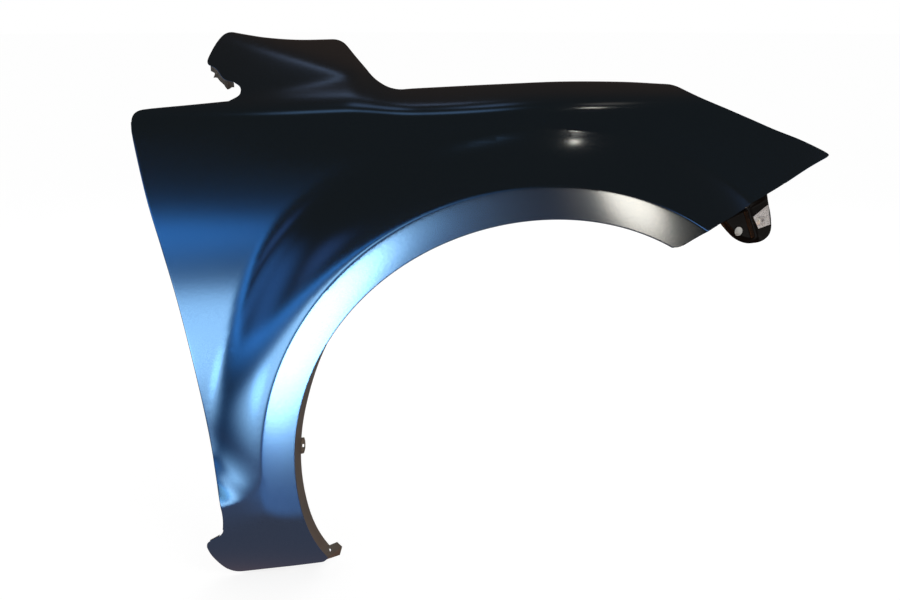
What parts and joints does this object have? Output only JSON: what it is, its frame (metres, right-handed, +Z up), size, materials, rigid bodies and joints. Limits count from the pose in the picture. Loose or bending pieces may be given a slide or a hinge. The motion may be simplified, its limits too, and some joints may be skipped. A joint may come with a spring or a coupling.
{
  "type": "car front fender",
  "caption": "Pressed steel front fender for a car's right side, with a round wheel arch, flared band, hood ledge, sill end and a bracket with rivet and clip nut.",
  "frame": {"origin": "underside of the flat ledge beside the hood, just ahead of its middle bolt slot, about over the wheel centre", "axes": "+X toward the front of the car, +Z up, the painted face toward -Y and +Y toward the middle of the car"},
  "size_m": [0.9819, 0.2535, 0.7594],
  "materials": {
    "painted_panel": "satin blue metallic paint on pressed steel",
    "black_enamel": "gloss black dip coat",
    "white_plastic": "satin moulded plastic",
    "zinc_steel": "bright zinc plate"
  },
  "bodies": {
    "root": {"fender_panel": "painted_panel", "bumper_bracket": "black_enamel", "push_rivet": "white_plastic", "clip_nut": "zinc_steel"}
  },
  "joints": []
}
